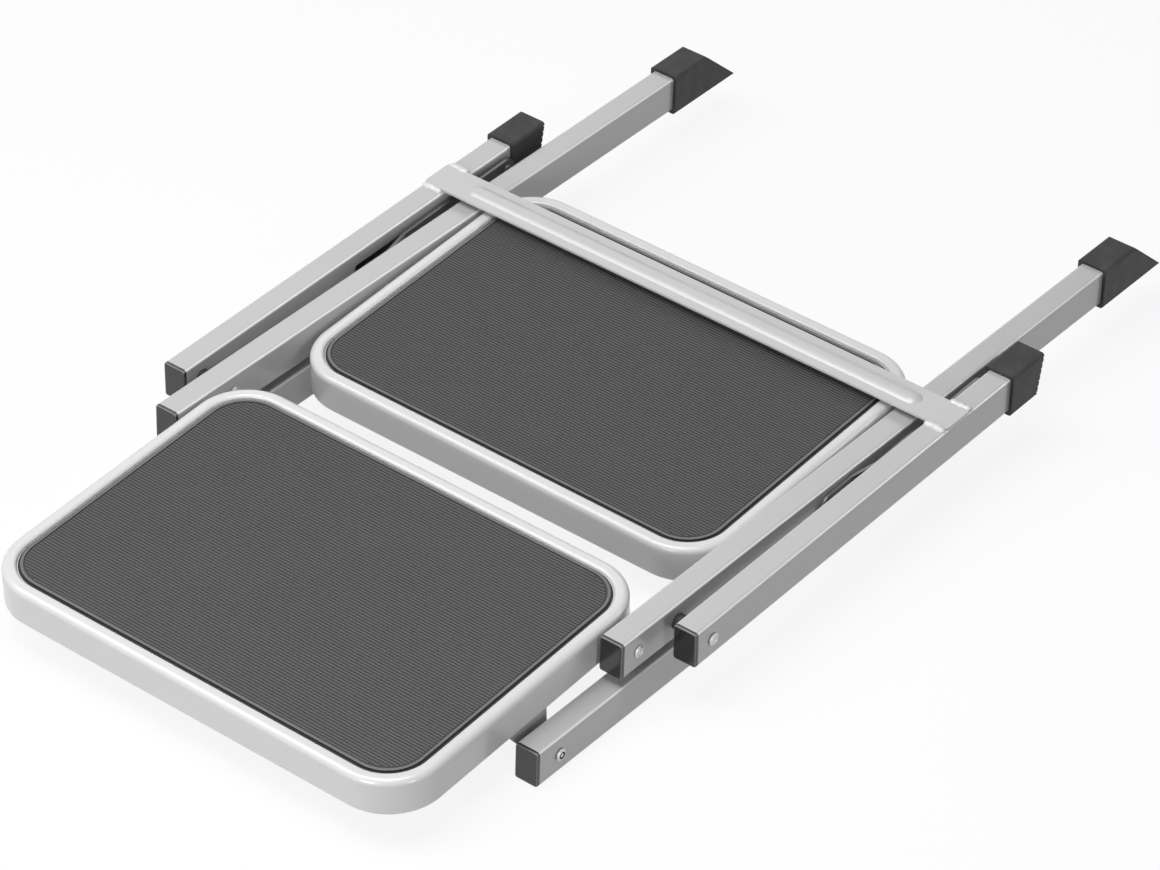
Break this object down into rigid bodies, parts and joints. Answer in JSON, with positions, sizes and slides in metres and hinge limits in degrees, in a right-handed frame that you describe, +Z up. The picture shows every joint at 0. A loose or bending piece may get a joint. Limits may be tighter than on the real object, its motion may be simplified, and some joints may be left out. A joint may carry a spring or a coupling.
{
  "type": "folding step stool",
  "caption": "Folding step stool of painted rectangular tube with ribbed rubber treads, lying folded flat; treads, rear legs, links and stays swing open together.",
  "frame": {"origin": "centre of the folded stool's bounding box at the floor, on the undersides of the link tubes", "axes": "+X across the stool, +Y along the legs from the top step towards the feet, +Z up, out of the treads"},
  "size_m": [0.5006, 0.8848, 0.0792],
  "materials": {
    "painted_steel": "silver-grey powder paint, satin, with a fine orange-peel surface",
    "cap_plastic": "black moulded plastic, satin, with softly rounded edges",
    "foot_rubber": "black moulded rubber with a fine matt grain and a grooved sole",
    "mat_rubber": "dark grey rubber with fine cross ribs and a smooth raised border",
    "zinc_steel": "zinc-plated steel with a soft sheen",
    "spacer_nylon": "black nylon, smooth and slightly waxy"
  },
  "bodies": {
    "root": {"front_leg_left": "painted_steel", "front_leg_right": "painted_steel", "front_cap_left": "cap_plastic", "front_cap_right": "cap_plastic", "front_foot_left": "foot_rubber", "front_foot_right": "foot_rubber", "top_step_rivets": "zinc_steel", "top_step_spacers": "spacer_nylon", "lower_step_rivets": "zinc_steel", "lower_step_spacers": "spacer_nylon", "rear_leg_rivets": "zinc_steel", "rear_leg_spacers": "spacer_nylon", "stay_rivets": "zinc_steel"},
    "rear_frame": {"rear_leg_left": "painted_steel", "rear_leg_right": "painted_steel", "rear_cap_left": "cap_plastic", "rear_cap_right": "cap_plastic", "rear_foot_left": "foot_rubber", "rear_foot_right": "foot_rubber", "rear_crossbar": "painted_steel", "crossbar_welds": "painted_steel"},
    "top_step": {"top_step_tray": "painted_steel", "top_step_mat": "mat_rubber", "top_bracket_left": "painted_steel", "top_bracket_right": "painted_steel", "top_link_rivets": "zinc_steel", "top_link_spacers": "spacer_nylon"},
    "lower_step": {"lower_step_tray": "painted_steel", "lower_step_mat": "mat_rubber", "lower_bracket_left": "painted_steel", "lower_bracket_right": "painted_steel", "lower_link_rivets": "zinc_steel", "lower_link_spacers": "spacer_nylon"},
    "link_left": {"link_tube_left": "painted_steel", "link_top_cap_left": "cap_plastic", "link_foot_cap_left": "cap_plastic"},
    "link_right": {"link_tube_right": "painted_steel", "link_top_cap_right": "cap_plastic", "link_foot_cap_right": "cap_plastic"},
    "stay_left": {"stay_left": "zinc_steel", "stay_slider_left": "zinc_steel"},
    "stay_right": {"stay_right": "zinc_steel", "stay_slider_right": "zinc_steel"}
  },
  "joints": [
    {"name": "lower_step_hinge", "type": "hinge", "parent": "root", "child": "lower_step", "pos_m": [0, 0.11969, 0.053], "axis": [1, 0, 0], "range_deg": [0, 135.5]},
    {"name": "top_step_hinge", "type": "hinge", "parent": "root", "child": "top_step", "pos_m": [0, -0.21081, 0.053], "axis": [1, 0, 0], "range_deg": [0, 135.5]},
    {"name": "rear_frame_hinge", "type": "hinge", "parent": "root", "child": "rear_frame", "pos_m": [0, -0.16681, 0.053], "axis": [1, 0, 0], "range_deg": [0, 58.4]},
    {"name": "link_left_hinge", "type": "hinge", "parent": "lower_step", "child": "link_left", "pos_m": [0, 0.03419, 0.015], "axis": [1, 0, 0], "range_deg": [-135.5, 0]},
    {"name": "link_right_hinge", "type": "hinge", "parent": "lower_step", "child": "link_right", "pos_m": [0, 0.03419, 0.015], "axis": [1, 0, 0], "range_deg": [-135.5, 0]},
    {"name": "stay_left_hinge", "type": "hinge", "parent": "root", "child": "stay_left", "pos_m": [0, 0.0083, 0.053], "axis": [1, 0, 0], "range_deg": [0, 116.8]},
    {"name": "stay_right_hinge", "type": "hinge", "parent": "root", "child": "stay_right", "pos_m": [0, 0.0083, 0.053], "axis": [1, 0, 0], "range_deg": [0, 116.8]}
  ],
  "couplings": [
    {"joint": "top_step_hinge", "follows": "lower_step_hinge", "ratio": 1},
    {"joint": "rear_frame_hinge", "follows": "lower_step_hinge", "ratio": 0.431},
    {"joint": "link_left_hinge", "follows": "lower_step_hinge", "ratio": -1},
    {"joint": "link_right_hinge", "follows": "lower_step_hinge", "ratio": -1},
    {"joint": "stay_left_hinge", "follows": "lower_step_hinge", "ratio": 0.86199},
    {"joint": "stay_right_hinge", "follows": "lower_step_hinge", "ratio": 0.86199}
  ]
}
